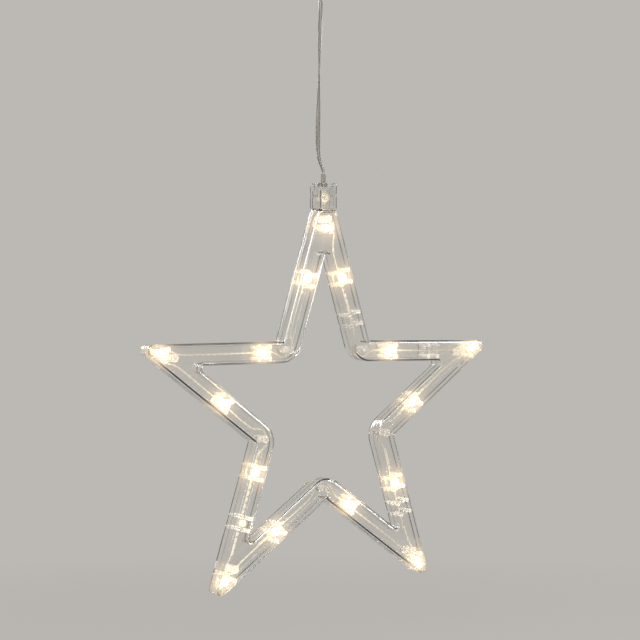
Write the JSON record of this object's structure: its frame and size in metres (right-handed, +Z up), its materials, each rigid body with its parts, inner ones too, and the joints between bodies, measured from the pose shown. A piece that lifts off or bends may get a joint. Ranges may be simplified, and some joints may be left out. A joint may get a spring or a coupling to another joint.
{
  "type": "hanging lighted star",
  "caption": "Five-pointed star of clear moulded tube with warm white lamps inside, hung by its own flat clear lead.",
  "frame": {"origin": "the point inside the top of the hanging loop that rests on a nail or hook", "axes": "+X to the star's right seen from its front, +Y back through the star's thickness (its front faces -Y), +Z up"},
  "size_m": [0.2516, 0.0138, 0.4049],
  "materials": {
    "clear_front": "clear, polished",
    "clear_rear": "clear, polished",
    "clear_cap": "clear, polished",
    "sleeve": "pale, soft",
    "lead": "clear flexible insulation",
    "knot": "clear flexible insulation",
    "wire": "thin insulated wire",
    "holder": "pale moulded",
    "led": "warm white epoxy"
  },
  "bodies": {
    "loop": {"hanging_loop": "lead"},
    "knot": {"loop_knot": "knot"},
    "lead": {"suspension_lead": "lead"},
    "star": {"front_shell": "clear_front", "rear_shell": "clear_rear", "neck_cap": "clear_cap", "lead_sleeve": "sleeve", "strain_knot": "knot", "led_01": "led", "led_02": "led", "led_03": "led", "led_04": "led", "led_05": "led", "led_06": "led", "led_07": "led", "led_08": "led", "led_09": "led", "led_10": "led", "led_11": "led", "led_12": "led", "led_13": "led", "led_14": "led", "led_15": "led", "led_16": "led", "lamp_holder_01": "holder", "lamp_holder_02": "holder", "lamp_holder_03": "holder", "lamp_holder_04": "holder", "lamp_holder_05": "holder", "lamp_holder_06": "holder", "lamp_holder_07": "holder", "lamp_holder_08": "holder", "lamp_holder_09": "holder", "lamp_holder_10": "holder", "lamp_holder_11": "holder", "lamp_holder_12": "holder", "lamp_holder_13": "holder", "lamp_holder_14": "holder", "lamp_holder_15": "holder", "lamp_holder_16": "holder", "wire_01": "wire", "wire_02": "wire", "wire_03": "wire", "wire_04": "wire", "wire_05": "wire", "wire_06": "wire", "wire_07": "wire", "wire_08": "wire", "wire_09": "wire", "wire_10": "wire", "wire_11": "wire", "wire_12": "wire", "wire_13": "wire", "wire_14": "wire", "wire_15": "wire", "wire_16": "wire"}
  },
  "joints": [
    {"name": "fore_swing", "type": "hinge", "parent": "loop", "child": "knot", "pos_m": [0, 0, -0.03], "axis": [1, 0, 0], "range_deg": [-30, 30]},
    {"name": "side_swing", "type": "hinge", "parent": "knot", "child": "lead", "pos_m": [0, 0, -0.03], "axis": [0, 1, 0], "range_deg": [-30, 30]},
    {"name": "star_turn", "type": "hinge", "parent": "lead", "child": "star", "pos_m": [0.0025, 0, -0.1479], "axis": [0, 0, 1], "range_deg": [-180, 180]}
  ]
}
